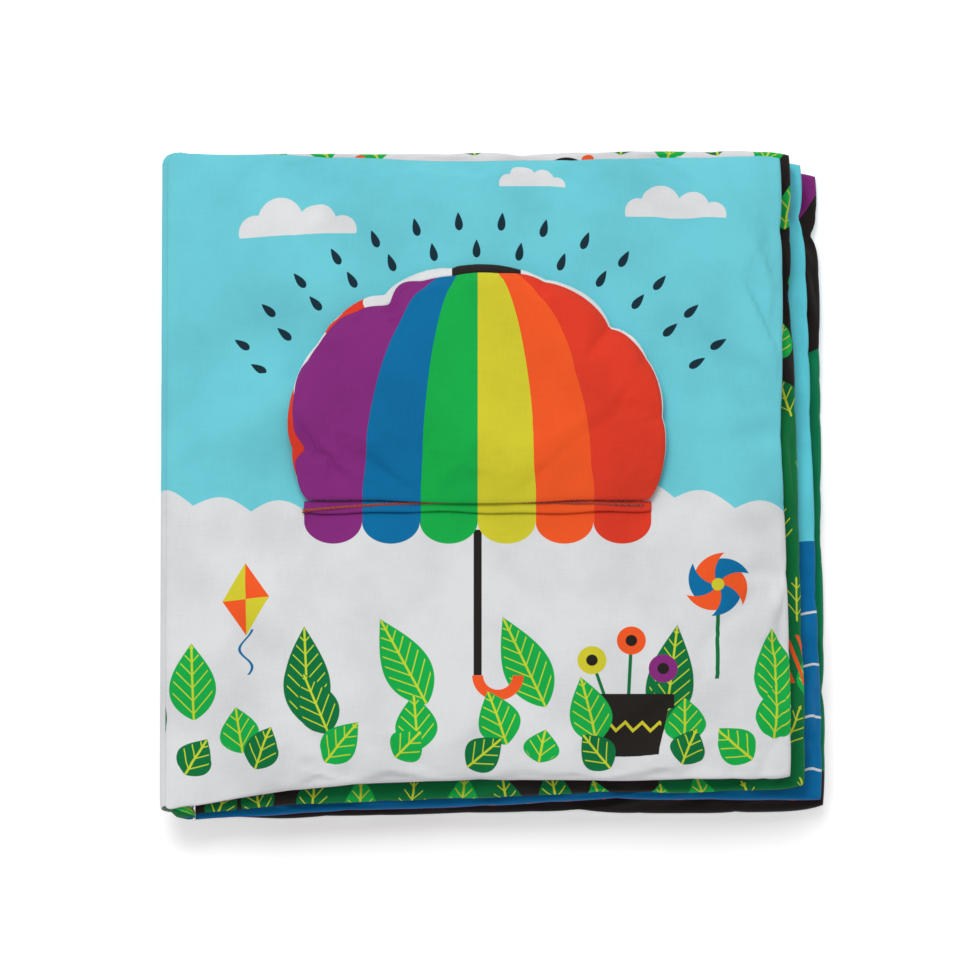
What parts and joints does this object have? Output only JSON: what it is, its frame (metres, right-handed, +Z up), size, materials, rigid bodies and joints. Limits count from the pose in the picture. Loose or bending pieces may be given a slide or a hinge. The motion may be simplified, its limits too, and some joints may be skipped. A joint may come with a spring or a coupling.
{
  "type": "crinkle cloth book",
  "caption": "Square soft cloth book of padded crinkle leaves turning on one soft spine, with a puffy lift-up flap on its front cover.",
  "frame": {"origin": "middle of the footprint of the closed book, on the surface that it lies on", "axes": "+X from the spine to the fore edge, +Y towards the head of the pages, +Z up out of the front cover"},
  "size_m": [0.2294, 0.237, 0.0412],
  "materials": {
    "sky_print_cloth": "soft printed plain-weave polyester, matt",
    "night_print_cloth": "soft printed plain-weave polyester, matt",
    "sea_print_cloth": "soft printed plain-weave polyester, matt",
    "purple_cloth": "soft printed plain-weave polyester, matt",
    "leaf_print_cloth": "soft printed plain-weave polyester, matt",
    "canopy_print_cloth": "soft printed plain-weave polyester, matt",
    "pale_cloth": "soft printed plain-weave polyester, matt",
    "polyester_wadding": "loose bonded fibre",
    "crinkle_film": "thin crackling film, slightly glossy",
    "overlock_thread": "twisted polyester thread",
    "binding_thread": "twisted polyester thread"
  },
  "bodies": {
    "back_cover": {"back_cover_front_panel": "night_print_cloth", "back_cover_crinkle_film": "crinkle_film", "back_cover_wadding": "polyester_wadding", "back_cover_back_panel": "sky_print_cloth", "spine_cover": "sky_print_cloth", "spine_inner_fold": "sea_print_cloth", "spine_stitching": "binding_thread"},
    "second_page": {"second_page_front_panel": "sea_print_cloth", "second_page_crinkle_film": "crinkle_film", "second_page_wadding": "polyester_wadding", "second_page_back_panel": "purple_cloth"},
    "first_page": {"first_page_front_panel": "leaf_print_cloth", "first_page_crinkle_film": "crinkle_film", "first_page_wadding": "polyester_wadding", "first_page_back_panel": "night_print_cloth"},
    "front_cover": {"front_cover_front_panel": "sky_print_cloth", "front_cover_crinkle_film": "crinkle_film", "front_cover_wadding": "polyester_wadding", "front_cover_back_panel": "purple_cloth", "flap_hem": "canopy_print_cloth", "flap_overlock_thread": "overlock_thread"},
    "peekaboo_flap": {"peekaboo_flap_front_panel": "canopy_print_cloth", "peekaboo_flap_crinkle_film": "crinkle_film", "peekaboo_flap_wadding": "polyester_wadding", "peekaboo_flap_back_panel": "pale_cloth"}
  },
  "joints": [
    {"name": "second_page_turn", "type": "hinge", "parent": "back_cover", "child": "second_page", "pos_m": [-0.10875, 0, 0.01645], "axis": [0, -1, 0], "range_deg": [0, 180]},
    {"name": "first_page_turn", "type": "hinge", "parent": "second_page", "child": "first_page", "pos_m": [-0.10875, 0, 0.01645], "axis": [0, -1, 0], "range_deg": [0, 180]},
    {"name": "front_cover_turn", "type": "hinge", "parent": "first_page", "child": "front_cover", "pos_m": [-0.10875, 0, 0.01645], "axis": [0, -1, 0], "range_deg": [0, 180]},
    {"name": "flap_lift", "type": "hinge", "parent": "front_cover", "child": "peekaboo_flap", "pos_m": [-0.005, -0.0124, 0.0356], "axis": [1, 0, 0], "range_deg": [0, 165]}
  ]
}
